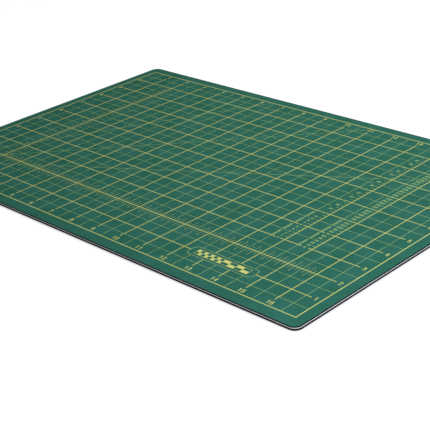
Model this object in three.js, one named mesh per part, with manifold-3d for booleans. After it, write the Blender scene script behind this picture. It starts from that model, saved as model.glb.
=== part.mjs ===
// Self-healing craft cutting mat: three PVC sheets pressed into one laminate, with an inch grid printed on top.
// Millimetres, +Z up. The origin is the middle of the underside, X runs along the long side and Y along the
// short side. The print is counted from its own -X -Y corner, where its numbers start.
import * as THREE from 'three';
import { mergeGeometries, mergeVertices } from 'three/addons/utils/BufferGeometryUtils.js';
import Module from 'manifold-3d';

// Laminate
const MAT_LENGTH = 450;
const MAT_WIDTH = 300;
const CORNER_RADIUS = 6;
const BOTTOM_THICKNESS = 1.55;
const CORE_THICKNESS = 0.6;
const TOP_THICKNESS = 0.85;
const DIE_ROLL = 0.2;

// Grid: whole inches that fit inside the least margin, and the room that the edge numbers need. Places along
// the grid are counted in inches from the border.
const INCH = 25.4;
const HALF_INCH = 0.5;
const WHOLE_INCH = 1;
const LEAST_MARGIN = 8;
const NUMBER_ROOM = 8.4;

// Ink: the film that one pull of the screen leaves, and the line weights
const FILM = 0.03;
const BORDER_LINE = 0.75;
const INCH_LINE = 0.64;
const HALF_LINE = 0.2;
const ANGLE_LINE = 0.2;
const TICK_LINE = 0.18;
const PANEL_LINE = 0.26;

// Two ruler rows that start together at one crossing of the grid
const RULER_INCH = 2;
const TICKS_PER_INCH = 8;
const QUARTER_TICK = 7.6;
const EIGHTH_TICK = 4.3;
const TICK_CLEARANCE = 0.6;

// Angle guides, in degrees from the print's long side
const GUIDE_ANGLES = [30, 45, 60];

// Title panel: a rounded window in the grid, centred on an inch line
const PANEL_LENGTH = 62.5;
const PANEL_HEIGHT = 11.7;
const PANEL_RADIUS = 4;
const PANEL_INCHES_FROM_RIGHT = 3.5;
const PANEL_INCHES_FROM_FRONT = 1;

// Two conversion scales: bands across the lengthwise lines, kept clear for columns of small numbers
const FIRST_SCALE_INCHES_FROM_RIGHT = 3.26;
const SECOND_SCALE_INCHES_FROM_RIGHT = 2.26;
const FIRST_SCALE_WIDTH = 4.2;
const SECOND_SCALE_WIDTH = 5.8;
const SCALE_FIRST_INCH = 3;
const SCALE_END_ROOM = 1.6;

// Facets along half of a round corner
const CORNER_STEPS = 6;
const PANEL_STEPS = 4;

const wasm = await Module();
wasm.setup();

const columns = Math.floor((MAT_LENGTH - 2 * LEAST_MARGIN) / INCH);
const rows = Math.floor((MAT_WIDTH - 2 * LEAST_MARGIN) / INCH);
const left = -columns * INCH / 2;
const right = -left;
const front = -rows * INCH / 2;
const back = -front;

const coreLevel = BOTTOM_THICKNESS;
const topLevel = coreLevel + CORE_THICKNESS;
const faceLevel = topLevel + TOP_THICKNESS;
const secondLevel = faceLevel + FILM;

// How far cutters reach past the film: bars are spared from the cells, so they reach further
const cellReach = FILM;
const barReach = 2 * cellReach;

function solid(geometry) {
  const bare = geometry.index ? geometry.toNonIndexed() : geometry.clone();
  bare.deleteAttribute('normal');
  bare.deleteAttribute('uv');
  const merged = mergeVertices(bare);
  return new wasm.Manifold(new wasm.Mesh({
    numProp: 3,
    vertProperties: merged.attributes.position.array,
    triVerts: new Uint32Array(merged.index.array),
  }));
}

function geometryOf(body) {
  const mesh = body.getMesh();
  const geometry = new THREE.BufferGeometry();
  geometry.setAttribute('position', new THREE.BufferAttribute(mesh.vertProperties, 3));
  geometry.setIndex(new THREE.BufferAttribute(mesh.triVerts, 1));
  geometry.computeVertexNormals();
  return geometry;
}

function box(x0, x1, y0, y1, z0, z1) {
  const geometry = new THREE.BoxGeometry(x1 - x0, y1 - y0, z1 - z0);
  return geometry.translate((x0 + x1) / 2, (y0 + y1) / 2, (z0 + z1) / 2);
}

function roundedRectangle(length, width, radius) {
  const x = length / 2 - radius;
  const y = width / 2 - radius;
  const quarter = Math.PI / 2;
  const shape = new THREE.Shape();
  shape.absarc(x, y, radius, 0, quarter);
  shape.absarc(-x, y, radius, quarter, 2 * quarter);
  shape.absarc(-x, -y, radius, 2 * quarter, 3 * quarter);
  shape.absarc(x, -y, radius, 3 * quarter, 4 * quarter);
  return shape;
}

const outline = roundedRectangle(MAT_LENGTH, MAT_WIDTH, CORNER_RADIUS);

function plainSheet(thickness, level) {
  const sheet = new THREE.ExtrudeGeometry(outline, {
    depth: thickness,
    bevelEnabled: false,
    curveSegments: CORNER_STEPS,
  });
  return sheet.translate(0, 0, level);
}

// The die enters from the printed side and rolls the top edge over a little. A sheet of double height, rolled
// on both faces, is cut in half.
function rolledSheet(thickness, level) {
  const both = new THREE.ExtrudeGeometry(outline, {
    depth: 2 * (thickness - DIE_ROLL),
    bevelThickness: DIE_ROLL,
    bevelSize: DIE_ROLL,
    bevelOffset: -DIE_ROLL,
    bevelSegments: 2,
    curveSegments: CORNER_STEPS,
  });
  both.translate(0, 0, level - thickness + DIE_ROLL);
  const lowerHalf = box(
    -MAT_LENGTH, MAT_LENGTH, -MAT_WIDTH, MAT_WIDTH, level - 2 * thickness, level);
  return geometryOf(solid(both).subtract(solid(lowerHalf)));
}

// Lines an inch apart between two edges: each has its place and half its weight
function ruledLines(start, inches, firstInch, weight, edgeWeight) {
  const lines = [{ at: start, half: edgeWeight / 2 }];
  for (let inch = firstInch; inch < inches; inch += 1) {
    lines.push({ at: start + inch * INCH, half: weight / 2 });
  }
  lines.push({ at: start + inches * INCH, half: edgeWeight / 2 });
  return lines;
}

// The clear cells between two families of lines
function cells(across, along, level) {
  const boxes = [];
  for (let i = 1; i < across.length; i += 1) {
    for (let j = 1; j < along.length; j += 1) {
      boxes.push(box(
        across[i - 1].at + across[i - 1].half, across[i].at - across[i].half,
        along[j - 1].at + along[j - 1].half, along[j].at - along[j].half,
        level - cellReach, level + FILM + cellReach));
    }
  }
  return solid(mergeGeometries(boxes));
}

function bar(x0, x1, y0, y1, level) {
  return box(x0, x1, y0, y1, level - barReach, level + FILM + barReach);
}

function film(x0, x1, y0, y1, level) {
  return solid(box(x0, x1, y0, y1, level, level + FILM));
}

function angleGuides(level) {
  const reach = Math.hypot(right - left, back - front);
  const guides = GUIDE_ANGLES.map((degrees) => {
    const guide = bar(0, reach, -ANGLE_LINE / 2, ANGLE_LINE / 2, level);
    guide.rotateZ(THREE.MathUtils.degToRad(degrees));
    return solid(guide.translate(left, front, 0));
  });
  return guides.reduce((all, guide) => all.add(guide));
}

function panel(grow, level) {
  const shape = roundedRectangle(
    PANEL_LENGTH + 2 * grow, PANEL_HEIGHT + 2 * grow, PANEL_RADIUS + grow);
  const window = new THREE.ExtrudeGeometry(shape, {
    depth: FILM + 2 * barReach,
    bevelEnabled: false,
    curveSegments: PANEL_STEPS,
  });
  return solid(window.translate(
    right - PANEL_INCHES_FROM_RIGHT * INCH,
    front + PANEL_INCHES_FROM_FRONT * INCH,
    level - barReach));
}

function scaleBand(inchesFromRight, width, level) {
  const middle = right - inchesFromRight * INCH;
  const start = front + SCALE_FIRST_INCH * INCH - SCALE_END_ROOM;
  const end = back - INCH + SCALE_END_ROOM;
  return solid(bar(middle - width / 2, middle + width / 2, start, end, level));
}

// Both films leave the scales' bands clear
function withoutScaleBands(lines, level) {
  return lines
    .subtract(scaleBand(FIRST_SCALE_INCHES_FROM_RIGHT, FIRST_SCALE_WIDTH, level))
    .subtract(scaleBand(SECOND_SCALE_INCHES_FROM_RIGHT, SECOND_SCALE_WIDTH, level));
}

// First film: the border, the half-inch lines, the angle guides and the panel's outline
function fineLines() {
  const across = ruledLines(left, columns, HALF_INCH, HALF_LINE, BORDER_LINE);
  const along = ruledLines(front, rows, HALF_INCH, HALF_LINE, BORDER_LINE);
  const edge = BORDER_LINE / 2;
  const openings = cells(across, along, faceLevel)
    .subtract(angleGuides(faceLevel))
    .subtract(panel(PANEL_LINE / 2, faceLevel));
  const lines = film(left - edge, right + edge, front - edge, back + edge, faceLevel)
    .subtract(openings)
    .subtract(panel(-PANEL_LINE / 2, faceLevel));
  return withoutScaleBands(lines, faceLevel);
}

// A ruler row along X from the rows' shared crossing. The half-inch places have a line already, and near the
// crossing the ticks stay shorter than their distance to it, clear of the other row.
function tickRow(inches, level) {
  const ticks = [];
  for (let step = 1; step < inches * TICKS_PER_INCH; step += 1) {
    const x = (step / TICKS_PER_INCH) * INCH;
    const full = step % 2 === 0 ? QUARTER_TICK : EIGHTH_TICK;
    const reach = Math.min(full, x - TICK_CLEARANCE);
    if (step % (TICKS_PER_INCH / 2) !== 0) {
      ticks.push(bar(x - TICK_LINE / 2, x + TICK_LINE / 2, -reach, reach, level));
    }
  }
  return mergeGeometries(ticks);
}

// Second film: the inch lines, stopped short of the border where the numbers stand, with the ruler ticks
function inchLines() {
  const across = ruledLines(left, columns, WHOLE_INCH, INCH_LINE, 0);
  const along = ruledLines(front, rows, WHOLE_INCH, INCH_LINE, 0);
  const x = left + RULER_INCH * INCH;
  const y = front + RULER_INCH * INCH;
  const lengthwise = tickRow(columns - 1 - RULER_INCH, secondLevel);
  const crosswise = tickRow(rows - 1 - RULER_INCH, secondLevel).rotateZ(Math.PI / 2);
  const openings = cells(across, along, secondLevel)
    .subtract(solid(lengthwise.translate(x, y, 0)))
    .subtract(solid(crosswise.translate(x, y, 0)));
  const lines = film(
    left + NUMBER_ROOM, right - NUMBER_ROOM, front + NUMBER_ROOM, back - NUMBER_ROOM, secondLevel)
    .subtract(openings)
    .subtract(panel(PANEL_LINE, secondLevel));
  return withoutScaleBands(lines, secondLevel);
}

const topPvc = new THREE.MeshStandardMaterial({ color: 0x2f6b5c, roughness: 0.7, metalness: 0 });
const corePvc = new THREE.MeshStandardMaterial({ color: 0xb9b2b0, roughness: 0.8, metalness: 0 });
const bottomPvc = new THREE.MeshStandardMaterial({ color: 0x2a2528, roughness: 0.75, metalness: 0 });
const ink = new THREE.MeshStandardMaterial({ color: 0xd2bd62, roughness: 0.6, metalness: 0 });

const mat = new THREE.Group();

function place(name, geometry, material) {
  const mesh = new THREE.Mesh(geometry, material);
  mesh.name = name;
  mat.add(mesh);
}

place('bottom_sheet', plainSheet(BOTTOM_THICKNESS, 0), bottomPvc);
place('core_sheet', plainSheet(CORE_THICKNESS, coreLevel), corePvc);
place('top_sheet', rolledSheet(TOP_THICKNESS, topLevel), topPvc);
place('fine_lines', geometryOf(fineLines()), ink);

// The panel cuts short stubs off the inch lines below it, and each is a patch of ink by itself
const patches = inchLines().decompose().sort((a, b) => b.volume() - a.volume());
patches.forEach((patch, i) => {
  place(i === 0 ? 'inch_lines' : `inch_line_stub_${i}`, geometryOf(patch), ink);
});

export default mat;
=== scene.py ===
import math

import bmesh
import bpy
from mathutils import Matrix, Quaternion, Vector
from mathutils.geometry import delaunay_2d_cdt


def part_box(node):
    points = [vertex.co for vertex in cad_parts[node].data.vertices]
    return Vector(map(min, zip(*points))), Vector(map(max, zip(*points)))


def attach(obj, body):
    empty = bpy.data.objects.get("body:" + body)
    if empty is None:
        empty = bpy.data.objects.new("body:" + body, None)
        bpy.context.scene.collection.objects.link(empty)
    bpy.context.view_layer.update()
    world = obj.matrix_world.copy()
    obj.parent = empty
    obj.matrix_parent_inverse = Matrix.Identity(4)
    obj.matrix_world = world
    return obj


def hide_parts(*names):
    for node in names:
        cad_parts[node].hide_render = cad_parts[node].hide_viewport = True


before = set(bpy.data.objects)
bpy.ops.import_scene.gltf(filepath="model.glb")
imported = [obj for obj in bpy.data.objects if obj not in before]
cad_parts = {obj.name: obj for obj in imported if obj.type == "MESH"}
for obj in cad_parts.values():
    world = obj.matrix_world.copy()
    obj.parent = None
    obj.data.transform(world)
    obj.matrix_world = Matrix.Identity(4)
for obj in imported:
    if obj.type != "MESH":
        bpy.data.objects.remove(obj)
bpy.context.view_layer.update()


# Bottom sheet: the dark PVC backing that lies on the table, with a dull calendered grain underneath.
# It is one of three sheets hot-pressed into a laminate and die-cut together, so its wall is bare and
# smooth, with a slight burr-free break along the lower edge.
MM = 0.001
CORNER_RADIUS = 6 * MM
CORNER_STEPS = 20
PLY_GROOVE = 0.04 * MM
LOWER_BREAK = 0.1 * MM
LOWER_BREAK_PROFILE = ((1, 0), (1 / 4, 1), (0, 3))
FACE_SLOT = 0
WALL_SLOT = 1
NOISE_LOW = 0.3
NOISE_HIGH = 0.7
DRIFT_DETAIL = 4
RELIEF_DETAIL = 3
RELIEF_STRENGTH = 0.6
# Painted shade in the relief's pits and painted highlight on its crests, as factors on the colour
PIT_SHADE = 0.88
CREST_SHADE = 1.08


def srgb(red, green, blue):
    """A colour as it is seen, in steps of 255, turned into the linear values that a shader takes."""
    def linear(step):
        share = step / 255
        return share / 12.92 if share <= 0.04045 else ((share + 0.055) / 1.055) ** 2.4
    return (linear(red), linear(green), linear(blue), 1)


def matt_finish(name, dark, light, patch, relief_size, relief_depth, roughness, gloss, stretch=(1, 1, 1)):
    """A matt surface. Its colour drifts between two tones over patches of that size. Fine relief of that
    size and depth bumps the surface and is also painted into the colour: painted shade darkens the pits and
    a painted highlight lightens the crests."""
    material = bpy.data.materials.new(name)
    material.use_nodes = True
    nodes, links = material.node_tree.nodes, material.node_tree.links
    surface = nodes["Principled BSDF"]
    surface.inputs["Roughness"].default_value = roughness
    surface.inputs["Specular IOR Level"].default_value = gloss
    place = nodes.new("ShaderNodeTexCoord")
    mapping = nodes.new("ShaderNodeMapping")
    mapping.inputs["Scale"].default_value = stretch
    links.new(place.outputs["Object"], mapping.inputs["Vector"])
    drift = nodes.new("ShaderNodeTexNoise")
    drift.inputs["Scale"].default_value = 1 / patch
    drift.inputs["Detail"].default_value = DRIFT_DETAIL
    links.new(mapping.outputs["Vector"], drift.inputs["Vector"])
    tones = nodes.new("ShaderNodeValToRGB")
    tones.color_ramp.elements[0].position = NOISE_LOW
    tones.color_ramp.elements[0].color = dark
    tones.color_ramp.elements[1].position = NOISE_HIGH
    tones.color_ramp.elements[1].color = light
    links.new(drift.outputs["Fac"], tones.inputs["Fac"])
    relief = nodes.new("ShaderNodeTexNoise")
    relief.inputs["Scale"].default_value = 1 / relief_size
    relief.inputs["Detail"].default_value = RELIEF_DETAIL
    links.new(mapping.outputs["Vector"], relief.inputs["Vector"])
    # Painted shade and highlight: the relief darkens the colour in its pits and lightens it on its crests
    painted_relief_shade = nodes.new("ShaderNodeMapRange")
    painted_relief_shade.inputs["From Min"].default_value = NOISE_LOW
    painted_relief_shade.inputs["From Max"].default_value = NOISE_HIGH
    painted_relief_shade.inputs["To Min"].default_value = PIT_SHADE
    painted_relief_shade.inputs["To Max"].default_value = CREST_SHADE
    links.new(relief.outputs["Fac"], painted_relief_shade.inputs["Value"])
    shaded = nodes.new("ShaderNodeVectorMath")
    shaded.operation = "SCALE"
    links.new(tones.outputs["Color"], shaded.inputs["Vector"])
    links.new(painted_relief_shade.outputs["Result"], shaded.inputs["Scale"])
    links.new(shaded.outputs["Vector"], surface.inputs["Base Color"])
    bump = nodes.new("ShaderNodeBump")
    bump.inputs["Strength"].default_value = RELIEF_STRENGTH
    bump.inputs["Distance"].default_value = relief_depth
    links.new(relief.outputs["Fac"], bump.inputs["Height"])
    links.new(bump.outputs["Normal"], surface.inputs["Normal"])
    return material


def rounded_outline(low, high, inset):
    """Points round a sheet's outline, drawn in by inset, with true arcs at the corners."""
    radius = CORNER_RADIUS - inset
    x0, x1 = low.x + CORNER_RADIUS, high.x - CORNER_RADIUS
    y0, y1 = low.y + CORNER_RADIUS, high.y - CORNER_RADIUS
    points = []
    for quarter, (x, y) in enumerate(((x1, y1), (x0, y1), (x0, y0), (x1, y0))):
        for step in range(CORNER_STEPS + 1):
            angle = math.pi / 2 * (quarter + step / CORNER_STEPS)
            points.append((x + radius * math.cos(angle), y + radius * math.sin(angle)))
    return points


def die_cut_sheet(node, wall, face_finish, wall_material):
    """A sheet in its node's place. The wall lists (inset, height) up the cut edge, from the underside to
    the face, and the underside has the wall's material."""
    low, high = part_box(node)
    work = bmesh.new()
    rings = []
    for inset, height in wall:
        rings.append([work.verts.new((x, y, height)) for x, y in rounded_outline(low, high, inset)])
    work.faces.new(reversed(rings[0])).material_index = WALL_SLOT
    work.faces.new(rings[-1]).material_index = FACE_SLOT
    for lower, upper in zip(rings, rings[1:]):
        for i in range(len(lower)):
            j = (i + 1) % len(lower)
            strip = work.faces.new((lower[i], lower[j], upper[j], upper[i]))
            strip.material_index = WALL_SLOT
            strip.smooth = True
    for rim in (rings[0], rings[-1]):
        for i in range(len(rim)):
            work.edges.get((rim[i], rim[(i + 1) % len(rim)])).smooth = False
    mesh = bpy.data.meshes.new(node + "_cut")
    work.to_mesh(mesh)
    work.free()
    mesh.materials.append(face_finish)
    mesh.materials.append(wall_material)
    piece = bpy.data.objects.new(node + "_cut", mesh)
    bpy.context.scene.collection.objects.link(piece)
    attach(piece, "root")
    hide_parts(node)
    return piece


backing_pvc = matt_finish(
    "backing_pvc", srgb(22, 19, 21), srgb(30, 26, 28), patch=16 * MM,
    relief_size=0.55 * MM, relief_depth=0.04 * MM, roughness=0.72, gloss=0.04)
bottom_low, bottom_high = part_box("bottom_sheet")
bottom_wall = []
for inset_share, rise_share in LOWER_BREAK_PROFILE:
    bottom_wall.append((LOWER_BREAK * inset_share, bottom_low.z + LOWER_BREAK * rise_share))
bottom_wall += [(0, bottom_high.z - PLY_GROOVE), (PLY_GROOVE, bottom_high.z)]
bottom_sheet = die_cut_sheet("bottom_sheet", bottom_wall, backing_pvc, backing_pvc)


# Core sheet: the pale, slightly rubbery PVC ply between the two skins, which closes up again behind a
# blade. Only its cut edge shows, a hair behind the skins, with faint upright streaks from the die.
core_pvc = matt_finish(
    "core_pvc", srgb(186, 181, 176), srgb(204, 200, 196), patch=1.2 * MM, stretch=(1, 1, 0.08),
    relief_size=0.7 * MM, relief_depth=0.03 * MM, roughness=0.8, gloss=0.1)
core_low, core_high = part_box("core_sheet")
core_wall = (
    (PLY_GROOVE, core_low.z),
    (PLY_GROOVE / 2, (core_low.z + core_high.z) / 2),
    (PLY_GROOVE, core_high.z),
)
core_sheet = die_cut_sheet("core_sheet", core_wall, core_pvc, core_pvc)


# Top sheet: green PVC skin with a fine matt emboss, the face that is printed and cut on.
# The die comes in from this side, so the upper edge is rolled over. The cut wall, the rolled edge and a
# thin
# rim of the face are painted almost black: painted shade on the same green PVC.
DIE_ROLL = 0.2 * MM
ROLL_STEPS = 4
# A thin strip of the face round the rolled edge, which carries the edge's painted shade
RIM = 0.15 * MM
green_face = matt_finish(
    "green_face", srgb(43, 99, 81), srgb(51, 107, 93), patch=18 * MM,
    relief_size=0.4 * MM, relief_depth=0.03 * MM, roughness=0.6, gloss=0.002)
# The same green PVC, painted almost black as painted shade on the cut wall, rolled edge and rim
green_edge_painted_shade = matt_finish(
    "green_edge_painted_shade", srgb(9, 15, 14), srgb(14, 22, 20), patch=3 * MM,
    relief_size=0.6 * MM, relief_depth=0.02 * MM, roughness=0.6, gloss=0.03)
top_low, top_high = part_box("top_sheet")
top_wall = [(PLY_GROOVE, top_low.z), (0, top_low.z + PLY_GROOVE)]
for roll_step in range(ROLL_STEPS + 1):
    turn = math.pi / 2 * roll_step / ROLL_STEPS
    top_wall.append((DIE_ROLL * (1 - math.cos(turn)), top_high.z - DIE_ROLL * (1 - math.sin(turn))))
top_wall.append((DIE_ROLL + RIM, top_high.z))
top_sheet = die_cut_sheet("top_sheet", top_wall, green_face, green_edge_painted_shade)


# Printed lines: two pulls of yellow screen ink, first the border, half-inch and angle lines, then the inch
# lines and ruler ticks. The film dries a little uneven, and the fine strokes of the first pull, which take
# less ink than the border does, dry thinner and let some green through.
BORDER_LINE = 0.75 * MM
THIN_FILM_TINT = (0.77, 1.05, 1.15, 1)
print_low, print_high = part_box("fine_lines")


def ink_finish(name):
    """Yellow screen ink with the slight tooth that the mesh of the screen leaves."""
    return matt_finish(
        name, srgb(195, 195, 106), srgb(203, 203, 116), patch=1.5 * MM,
        relief_size=0.4 * MM, relief_depth=0.01 * MM, roughness=0.55, gloss=0.1)


def thin_inside_border(ink):
    """Tints an ink wherever it lies inside the border line."""
    nodes, links = ink.node_tree.nodes, ink.node_tree.links
    base_colour = nodes["Principled BSDF"].inputs["Base Color"]
    full_film = base_colour.links[0].from_socket
    place = nodes.new("ShaderNodeTexCoord")
    reach = nodes.new("ShaderNodeVectorMath")
    reach.operation = "ABSOLUTE"
    links.new(place.outputs["Object"], reach.inputs[0])
    axes = nodes.new("ShaderNodeSeparateXYZ")
    links.new(reach.outputs["Vector"], axes.inputs["Vector"])
    inside = nodes.new("ShaderNodeMath")
    inside.operation = "MINIMUM"
    for either, axis, edge in zip(inside.inputs, "XY", print_high):
        short = nodes.new("ShaderNodeMath")
        short.operation = "LESS_THAN"
        short.inputs[1].default_value = edge - BORDER_LINE
        links.new(axes.outputs[axis], short.inputs[0])
        links.new(short.outputs["Value"], either)
    thin_film = nodes.new("ShaderNodeMixRGB")
    thin_film.blend_type = "MULTIPLY"
    thin_film.inputs["Color2"].default_value = THIN_FILM_TINT
    links.new(inside.outputs["Value"], thin_film.inputs["Fac"])
    links.new(full_film, thin_film.inputs["Color1"])
    links.new(thin_film.outputs["Color"], base_colour)


screen_ink = ink_finish("screen_ink")
fine_ink = ink_finish("fine_ink")
thin_inside_border(fine_ink)
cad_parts["fine_lines"].material_slots[0].material = fine_ink
for line_node in ("inch_lines", "inch_line_stub_1", "inch_line_stub_2"):
    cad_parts[line_node].material_slots[0].material = screen_ink


# Edge numbers: plain upright figures that count the inches along all four sides, inside the border. They
# are screen-printed where the inch lines stop short, in strokes of one even weight.
INCH = 25.4 * MM
FILM = 0.03 * MM
FIGURE_HEIGHT = 4.3 * MM
FIGURE_FROM_BORDER = 4.2 * MM
SIDE_FIGURE_FROM_BORDER = 4.6 * MM
ARC_STEP = 15
FEWEST_ARC_STEPS = 6
INSIDE_TRIANGLES = 1
SAME_SPOT = 1e-6
FLAT_WITHIN = 0.01
left, right = print_low.x + BORDER_LINE / 2, print_high.x - BORDER_LINE / 2
front, back = print_low.y + BORDER_LINE / 2, print_high.y - BORDER_LINE / 2
columns = round((right - left) / INCH)
rows = round((back - front) / INCH)


def arc(x, y, across, up, start, end):
    """Points along part of an ellipse, between two angles in degrees."""
    steps = max(FEWEST_ARC_STEPS, round(abs(end - start) / ARC_STEP))
    angles = [math.radians(start + (end - start) * i / steps) for i in range(steps + 1)]
    return [(x + across * math.cos(angle), y + up * math.sin(angle)) for angle in angles]


# The pen strokes of each figure, for a figure that is 1 tall
FIGURE_PEN = 0.135
FIGURE_WIDTH = 0.64
FIGURE_GAP = 0.14
CLOSED_WITHIN = FIGURE_PEN / 100
SIX = [arc(0.325, 0.325, 0.24, 0.245, 0, 360), arc(0.335, 0.52, 0.25, 0.4, 38, 195)]
FIGURES = {
    "0": [arc(0.32, 0.5, 0.24, 0.42, 0, 360)],
    "1": [[(0.38, 0), (0.38, 1)], [(0.14, 0.74), (0.27, 0.775), (0.36, 0.9)]],
    "2": [arc(0.32, 0.69, 0.235, 0.23, 172, -38) + [(0.13, 0.1)], [(0.05, 0.08), (0.59, 0.08)]],
    "3": [
        arc(0.3, 0.735, 0.215, 0.185, 165, -90) + [(0.21, 0.55)],
        arc(0.3, 0.315, 0.245, 0.235, 90, -165),
    ],
    "4": [[(0.45, 0), (0.45, 1)], [(0.43, 0.93), (0.11, 0.31)], [(0.03, 0.29), (0.61, 0.29)]],
    "5": [
        [(0.13, 0.92), (0.57, 0.92)],
        [(0.18, 0.96), (0.125, 0.49)],
        arc(0.31, 0.33, 0.245, 0.25, 140, -162),
    ],
    "6": SIX,
    "7": [[(0.05, 0.92), (0.59, 0.92)], [(0.535, 0.9), (0.35, 0.5), (0.25, 0)]],
    "8": [arc(0.32, 0.745, 0.205, 0.175, 0, 360), arc(0.32, 0.325, 0.24, 0.245, 0, 360)],
    "9": [[(FIGURE_WIDTH - x, 1 - y) for x, y in stroke] for stroke in SIX],
}


def pen_stroke(points):
    """The quads that a pen of even weight covers along a line of points, which may close on itself."""
    spots = [Vector(point) for point in points]
    closed = (spots[0] - spots[-1]).length < CLOSED_WITHIN
    run_in = spots[-2] if closed else spots[0]
    run_out = spots[1] if closed else spots[-1]
    path = [run_in] + spots + [run_out]
    edges = []
    for before, spot, after in zip(path, spots, path[2:]):
        along = (after - before).normalized()
        across = Vector((-along.y, along.x)) * FIGURE_PEN / 2
        edges.append((spot + across, spot - across))
    return [(a[0], a[1], b[1], b[0]) for a, b in zip(edges, edges[1:])]


def flat_shape(polygons):
    """One flat mesh that covers all the polygons once, however they overlap."""
    corners = []
    loops = []
    for polygon in polygons:
        loops.append(range(len(corners), len(corners) + len(polygon)))
        corners.extend(polygon)
    spots, _, faces, _, _, sources = delaunay_2d_cdt(corners, [], loops, INSIDE_TRIANGLES, SAME_SPOT)
    mesh = bpy.data.meshes.new("flat_shape")
    covered = [face for face, source in zip(faces, sources) if source]
    mesh.from_pydata([(spot.x, spot.y, 0) for spot in spots], [], covered)
    return mesh


figure_shapes = {}
for figure, strokes in FIGURES.items():
    figure_shapes[figure] = flat_shape([quad for stroke in strokes for quad in pen_stroke(stroke)])


def lay_shape(work, shape, x, y, size=1):
    """Lays a copy of a flat shape on the printed face."""
    copy = shape.copy()
    copy.transform(Matrix.Translation((x, y, top_high.z)) @ Matrix.Scale(size, 4))
    work.from_mesh(copy)
    bpy.data.meshes.remove(copy)


def lay_number(work, number, x, y, height):
    """Lays a number on the printed face, centred on x and y."""
    text = str(number)
    step = (FIGURE_WIDTH + FIGURE_GAP) * height
    start = x - (len(text) * step - FIGURE_GAP * height) / 2
    for place, figure in enumerate(text):
        lay_shape(work, figure_shapes[figure], start + place * step, y - height / 2, height)


def print_film(name, work, ink):
    """Turns the flat faces into a closed film of ink on the top sheet, as one piece, with a wall along
    each edge that only one face has."""
    bmesh.ops.delete(work, geom=[spot for spot in work.verts if not spot.link_faces], context="VERTS")
    bmesh.ops.dissolve_limit(work, angle_limit=FLAT_WITHIN, verts=work.verts, edges=work.edges)
    work.verts.index_update()
    lower = [spot.co.copy() for spot in work.verts]
    upper = [spot + Vector((0, 0, FILM)) for spot in lower]
    flat_faces = [[spot.index for spot in face.verts] for face in work.faces]
    work.free()
    faces = [face[::-1] for face in flat_faces]
    faces += [[spot + len(lower) for spot in face] for face in flat_faces]
    edges = [edge for face in flat_faces for edge in zip(face, face[1:] + face[:1])]
    known = set(edges)
    for a, b in edges:
        if (b, a) not in known:
            faces.append([a, b, b + len(lower), a + len(lower)])
    mesh = bpy.data.meshes.new(name)
    mesh.from_pydata(lower + upper, [], faces)
    mesh.materials.append(ink)
    piece = bpy.data.objects.new(name, mesh)
    bpy.context.scene.collection.objects.link(piece)
    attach(piece, "root")


for side, y in (("front", front + FIGURE_FROM_BORDER), ("back", back - FIGURE_FROM_BORDER)):
    numbers = bmesh.new()
    for inch in range(1, columns):
        lay_number(numbers, inch, left + inch * INCH, y, FIGURE_HEIGHT)
    print_film(side + "_numbers", numbers, screen_ink)
for side, x in (("left", left + SIDE_FIGURE_FROM_BORDER), ("right", right - SIDE_FIGURE_FROM_BORDER)):
    numbers = bmesh.new()
    for inch in range(1, rows):
        lay_number(numbers, inch, x, front + inch * INCH, FIGURE_HEIGHT)
    print_film(side + "_numbers", numbers, screen_ink)


# Conversion scales: two columns of small figures that count sixths of an inch, in ones and in twelves, with
# short ticks against the next inch line. They are printed thinly in the bands that the lines leave clear.
SCALE_FIRST_INCH = 3
SCALE_LAST_INCH = rows - 1
SCALE_START = front + SCALE_FIRST_INCH * INCH
SIXTHS_PER_INCH = 6
SIXTHS_PER_LINE = 3
SCALE_SIXTHS = SIXTHS_PER_INCH * (SCALE_LAST_INCH - SCALE_FIRST_INCH)
EVERY_SIXTH_UP_TO = 10
SCALE_FIGURE = 2.3 * MM
TICK_WEIGHT = 0.2 * MM
INCH_LINE = 0.64 * MM


def rectangle(x0, x1, y0, y1):
    """The corners of an upright rectangle, in order round it."""
    return [Vector((x0, y0)), Vector((x1, y0)), Vector((x1, y1)), Vector((x0, y1))]


def lay_tick(work, x0, x1, y, weight):
    """Lays a tick from x0 to x1 on the printed face, with its middle at y."""
    corners = rectangle(x0, x1, y - weight / 2, y + weight / 2)
    work.faces.new([work.verts.new((corner.x, corner.y, top_high.z)) for corner in corners])


def print_scale(name, line_inch, middle_inch, tick_length, per_sixth, thinned):
    """One scale, left of an inch line. The half-inch places have a line already, which serves as their
    tick. A thinned scale leaves out every second figure further up."""
    line = left + line_inch * INCH - INCH_LINE / 2
    numbers = bmesh.new()
    ticks = bmesh.new()
    for sixth in range(SCALE_SIXTHS + 1):
        y = SCALE_START + sixth * INCH / SIXTHS_PER_INCH
        if not thinned or sixth <= EVERY_SIXTH_UP_TO or sixth % 2 == 0:
            lay_number(numbers, sixth * per_sixth, left + middle_inch * INCH, y, SCALE_FIGURE)
        if sixth % SIXTHS_PER_LINE != 0:
            lay_tick(ticks, line - tick_length, line, y, TICK_WEIGHT)
    print_film(name + "_numbers", numbers, fine_ink)
    print_film(name + "_ticks", ticks, fine_ink)


print_scale(
    "sixths_scale", line_inch=14, middle_inch=13.74, tick_length=3.6 * MM, per_sixth=1, thinned=True)
print_scale(
    "twelves_scale", line_inch=15, middle_inch=14.74, tick_length=2.8 * MM, per_sixth=12, thinned=False)


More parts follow.
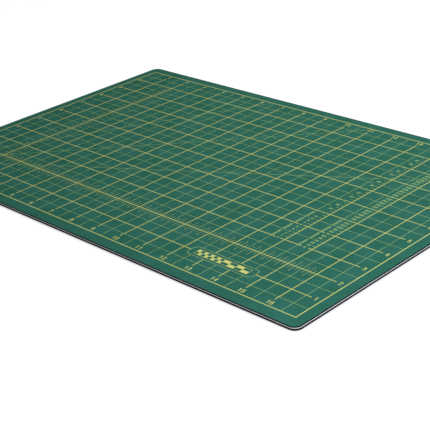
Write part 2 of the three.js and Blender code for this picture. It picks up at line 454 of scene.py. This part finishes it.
# Fine combs: short graduations across the half-inch line beside each scale, for its first two inches.
# They stand in groups of six, a sixteenth of an inch apart, each printed in two halves that meet the line.
COMB_STEPS_PER_INCH = 16
COMB_STEPS_PER_LINE = COMB_STEPS_PER_INCH // 2
COMB_STEPS_PER_GROUP = 6
COMB_INCHES = 2
COMB_REACH = 1.2 * MM
COMB_WEIGHT = 0.4 * MM
HALF_LINE = 0.2 * MM
for comb_name, comb_inch in (("sixths_comb", 13.5), ("twelves_comb", 14.5)):
    line = left + comb_inch * INCH
    comb = bmesh.new()
    for step in range(COMB_INCHES * COMB_STEPS_PER_INCH):
        y = SCALE_START + step * INCH / COMB_STEPS_PER_INCH
        if 0 < step % COMB_STEPS_PER_LINE <= COMB_STEPS_PER_GROUP:
            lay_tick(comb, line - COMB_REACH, line - HALF_LINE / 2, y, COMB_WEIGHT)
            lay_tick(comb, line + HALF_LINE / 2, line + COMB_REACH, y, COMB_WEIGHT)
    print_film(comb_name, comb, fine_ink)


# Scale bar: a plain chequered two-inch bar, printed in solid ink in the rounded panel that the grid leaves
# open, in line with the grid. As on a map, its first inch is divided finely, in eighths, and the second in
# quarters, with a rule along each side and along the middle.
BAR_START_INCH = 12.5
BAR_INCH_DIVISIONS = (8, 4)
BAR_ROW = 3.3 * MM
BAR_MIDDLE = front + INCH
BAR_FRAME = 0.26 * MM
bar_start = left + BAR_START_INCH * INCH
bar_end = bar_start + len(BAR_INCH_DIVISIONS) * INCH
bar_parts = []
for edge in (BAR_MIDDLE - BAR_ROW, BAR_MIDDLE, BAR_MIDDLE + BAR_ROW):
    bar_parts.append(rectangle(
        bar_start - BAR_FRAME / 2, bar_end + BAR_FRAME / 2, edge - BAR_FRAME / 2, edge + BAR_FRAME / 2))
for edge in (bar_start, bar_end):
    bar_parts.append(rectangle(
        edge - BAR_FRAME / 2, edge + BAR_FRAME / 2, BAR_MIDDLE - BAR_ROW, BAR_MIDDLE + BAR_ROW))
for inch, divisions in enumerate(BAR_INCH_DIVISIONS):
    for block in range(divisions):
        x = bar_start + (inch + block / divisions) * INCH
        y = BAR_MIDDLE if block % 2 == 0 else BAR_MIDDLE - BAR_ROW
        bar_parts.append(rectangle(x, x + INCH / divisions, y, y + BAR_ROW))
bar = bmesh.new()
lay_shape(bar, flat_shape(bar_parts), 0, 0)
print_film("scale_bar", bar, screen_ink)


# Table: a wide white sheet under the mat. It takes the shadows that the lamps cast, and close round the
# edge its white glow is darkened by ambient occlusion, a painted contact shadow; with distance it is lifted
# until it runs out to white.
TABLE_HALF = 4.0
TABLE_DROP = 0.02 * MM
TABLE_CORNERS = ((-1, -1), (1, -1), (1, 1), (-1, 1))
PAPER_GREY = (0.8, 0.8, 0.8, 1)
SHADOW_GREY = (0.24, 0.24, 0.24, 1)
LIFT_NEAR = 0.86
LIFT_FAR = 0.96
LIFT_START = 0.25
LIFT_END = 0.9
CONTACT_REACH = 3 * MM
CONTACT_DEPTH = 0.8


def seen_rays(nodes, links):
    """1 for a ray that shows the background to the camera, straight, mirrored or through glass."""
    ray = nodes.new("ShaderNodeLightPath")
    total = ray.outputs["Is Camera Ray"]
    for kind in ("Is Glossy Ray", "Is Transmission Ray"):
        larger = nodes.new("ShaderNodeMath")
        larger.operation = "MAXIMUM"
        links.new(total, larger.inputs[0])
        links.new(ray.outputs[kind], larger.inputs[1])
        total = larger.outputs["Value"]
    return total


white_table = bpy.data.materials.new("white_table")
white_table.use_nodes = True
table_nodes, table_links = white_table.node_tree.nodes, white_table.node_tree.links
table_nodes.remove(table_nodes["Principled BSDF"])
paper = table_nodes.new("ShaderNodeBsdfDiffuse")
paper.inputs["Color"].default_value = PAPER_GREY
shadow_taker = table_nodes.new("ShaderNodeBsdfDiffuse")
shadow_taker.inputs["Color"].default_value = SHADOW_GREY
table_place = table_nodes.new("ShaderNodeTexCoord")
table_distance = table_nodes.new("ShaderNodeVectorMath")
table_distance.operation = "LENGTH"
table_links.new(table_place.outputs["Object"], table_distance.inputs[0])
table_lift = table_nodes.new("ShaderNodeMapRange")
table_lift.inputs["From Min"].default_value = LIFT_START
table_lift.inputs["From Max"].default_value = LIFT_END
table_lift.inputs["To Min"].default_value = LIFT_NEAR
table_lift.inputs["To Max"].default_value = LIFT_FAR
table_links.new(table_distance.outputs["Value"], table_lift.inputs["Value"])
# Painted contact shadow: ambient occlusion darkens the table's white glow close round the mat
contact = table_nodes.new("ShaderNodeAmbientOcclusion")
contact.inputs["Distance"].default_value = CONTACT_REACH
painted_contact_shadow = table_nodes.new("ShaderNodeMapRange")
painted_contact_shadow.inputs["To Min"].default_value = 1 - CONTACT_DEPTH
table_links.new(contact.outputs["AO"], painted_contact_shadow.inputs["Value"])
shaded_lift = table_nodes.new("ShaderNodeMath")
shaded_lift.operation = "MULTIPLY"
table_links.new(table_lift.outputs["Result"], shaded_lift.inputs[0])
table_links.new(painted_contact_shadow.outputs["Result"], shaded_lift.inputs[1])
white = table_nodes.new("ShaderNodeEmission")
table_links.new(shaded_lift.outputs["Value"], white.inputs["Strength"])
seen_table = table_nodes.new("ShaderNodeAddShader")
table_links.new(shadow_taker.outputs["BSDF"], seen_table.inputs[0])
table_links.new(white.outputs["Emission"], seen_table.inputs[1])
either_table = table_nodes.new("ShaderNodeMixShader")
table_links.new(seen_rays(table_nodes, table_links), either_table.inputs["Fac"])
table_links.new(paper.outputs["BSDF"], either_table.inputs[1])
table_links.new(seen_table.outputs["Shader"], either_table.inputs[2])
table_links.new(either_table.outputs["Shader"], table_nodes["Material Output"].inputs["Surface"])
table_mesh = bpy.data.meshes.new("table")
table_mesh.from_pydata(
    [(x * TABLE_HALF, y * TABLE_HALF, -TABLE_DROP) for x, y in TABLE_CORNERS], [], [(0, 1, 2, 3)])
table_mesh.materials.append(white_table)
table = bpy.data.objects.new("table", table_mesh)
bpy.context.scene.collection.objects.link(table)


# Light: an even pale surround and two soft boxes that face the mat. One, faintly warm, hangs above it just
# behind the back edge. The other, cooler and of more power, stands further off at the right, towards the
# front.
SURROUND = 0.2
SEEN_SURROUND = 1
world = bpy.data.worlds.new("surround")
world.use_nodes = True
bpy.context.scene.world = world
sky_nodes, sky_links = world.node_tree.nodes, world.node_tree.links
sky_level = sky_nodes.new("ShaderNodeMapRange")
sky_level.inputs["To Min"].default_value = SURROUND
sky_level.inputs["To Max"].default_value = SEEN_SURROUND
sky_nodes["Background"].inputs["Color"].default_value = (1, 1, 1, 1)
sky_links.new(seen_rays(sky_nodes, sky_links), sky_level.inputs["Value"])
sky_links.new(sky_level.outputs["Result"], sky_nodes["Background"].inputs["Strength"])


def hang_soft_box(name, place, size, power, tint):
    """A square soft box that faces the middle of the mat."""
    soft_box = bpy.data.lights.new(name, "AREA")
    soft_box.size = size
    soft_box.energy = power
    soft_box.color = tint
    lamp = bpy.data.objects.new(name, soft_box)
    lamp.location = place
    lamp.rotation_euler = (-lamp.location).to_track_quat("-Z", "Y").to_euler()
    lamp.visible_camera = False
    bpy.context.scene.collection.objects.link(lamp)


hang_soft_box("back_soft_box", place=(0.05, 0.25, 0.4), size=0.6, power=1.85, tint=(1, 1, 0.93))
hang_soft_box("front_soft_box", place=(0.6, -0.25, 0.35), size=0.5, power=4.4, tint=(0.78, 0.87, 1))


# Camera: a long lens at the front right of the mat, looking down at it and a little rolled, as it was
# photographed. The focal length is counted in pixels of the picture, which is square.
PICTURE = 430
FOCAL_LENGTH = 1143.0
CAMERA_PLACE = (0.6322, -0.5990, 0.3755)
AZIMUTH = math.radians(46.409)
ELEVATION = math.radians(25.662)
ROLL = math.radians(-4.404)
view = bpy.data.cameras.new("view")
view.lens = view.sensor_width * FOCAL_LENGTH / PICTURE
camera = bpy.data.objects.new("view", view)
camera.location = CAMERA_PLACE
outwards = Vector((
    math.sin(AZIMUTH) * math.cos(ELEVATION), -math.cos(AZIMUTH) * math.cos(ELEVATION), math.sin(ELEVATION)))
camera.rotation_euler = ((-outwards).to_track_quat("-Z", "Y") @ Quaternion((0, 0, 1), ROLL)).to_euler()
bpy.context.scene.collection.objects.link(camera)
bpy.context.scene.camera = camera
bpy.context.scene.view_settings.view_transform = "Standard"
